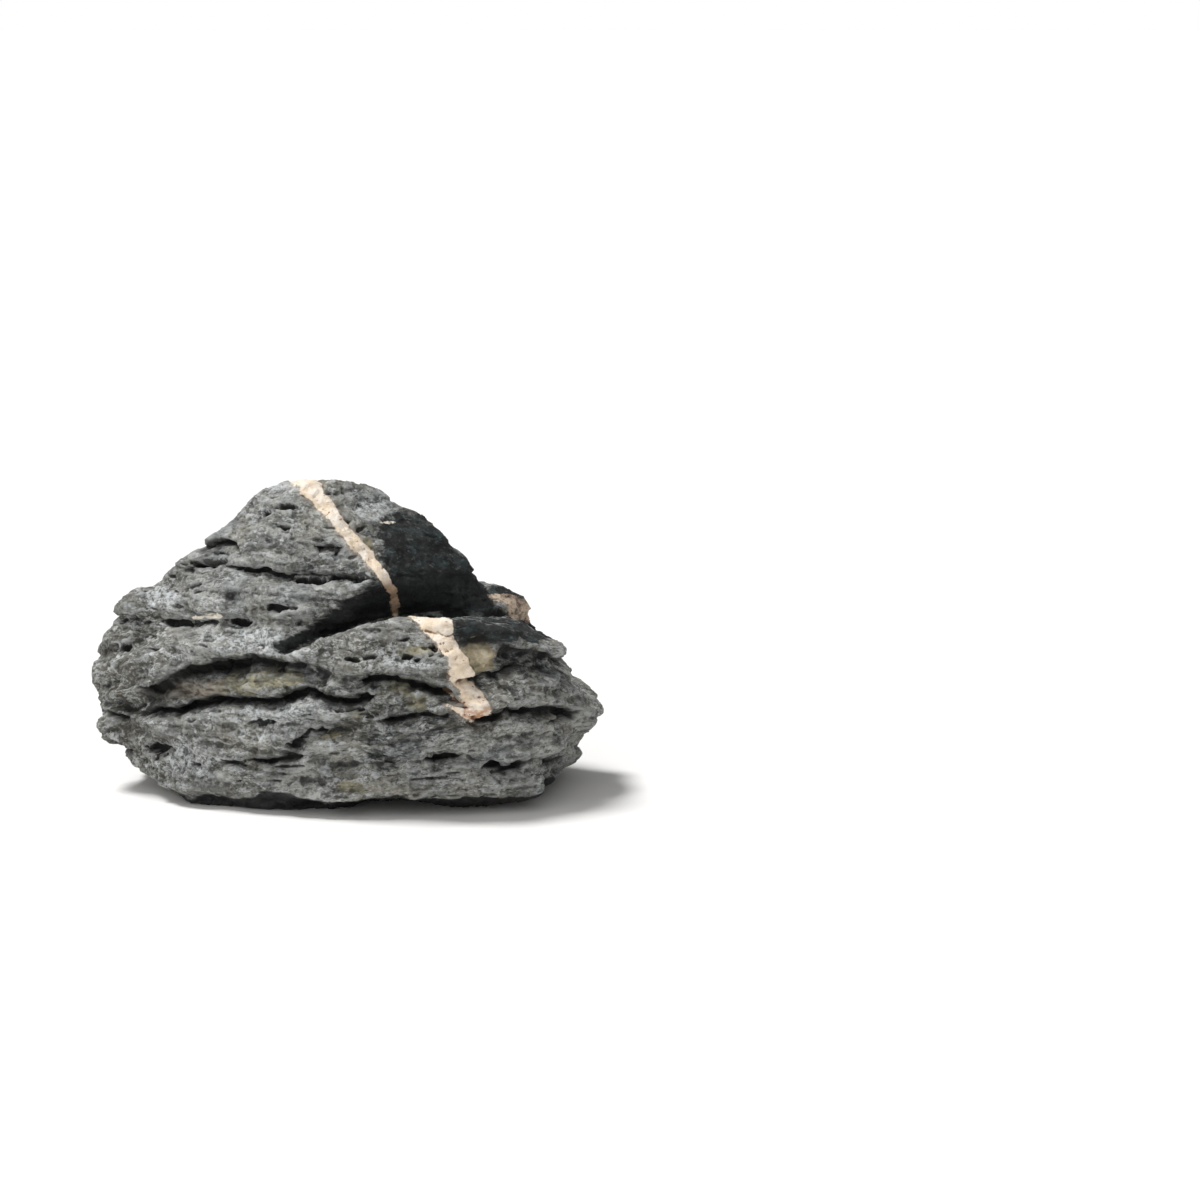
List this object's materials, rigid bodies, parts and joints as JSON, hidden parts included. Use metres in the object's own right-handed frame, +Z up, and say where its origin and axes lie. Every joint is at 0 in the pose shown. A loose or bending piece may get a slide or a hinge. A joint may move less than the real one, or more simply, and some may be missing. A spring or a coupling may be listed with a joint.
{
  "type": "seiryu stone",
  "caption": "Craggy layered grey limestone for a planted tank or rockery, with a cream calcite vein; rests on its hollowed underside.",
  "frame": {"origin": "under the middle of the stone, on the surface that it rests on", "axes": "+X along the stone's long side, to the right as the veined face is looked at; the veined face looks along -Y; +Z up"},
  "size_m": [0.228, 0.136, 0.139],
  "materials": {
    "limestone": "rough weathered blue-grey limestone with a cream calcite vein"
  },
  "bodies": {
    "root": {"seiryu_stone": "limestone"}
  },
  "joints": []
}
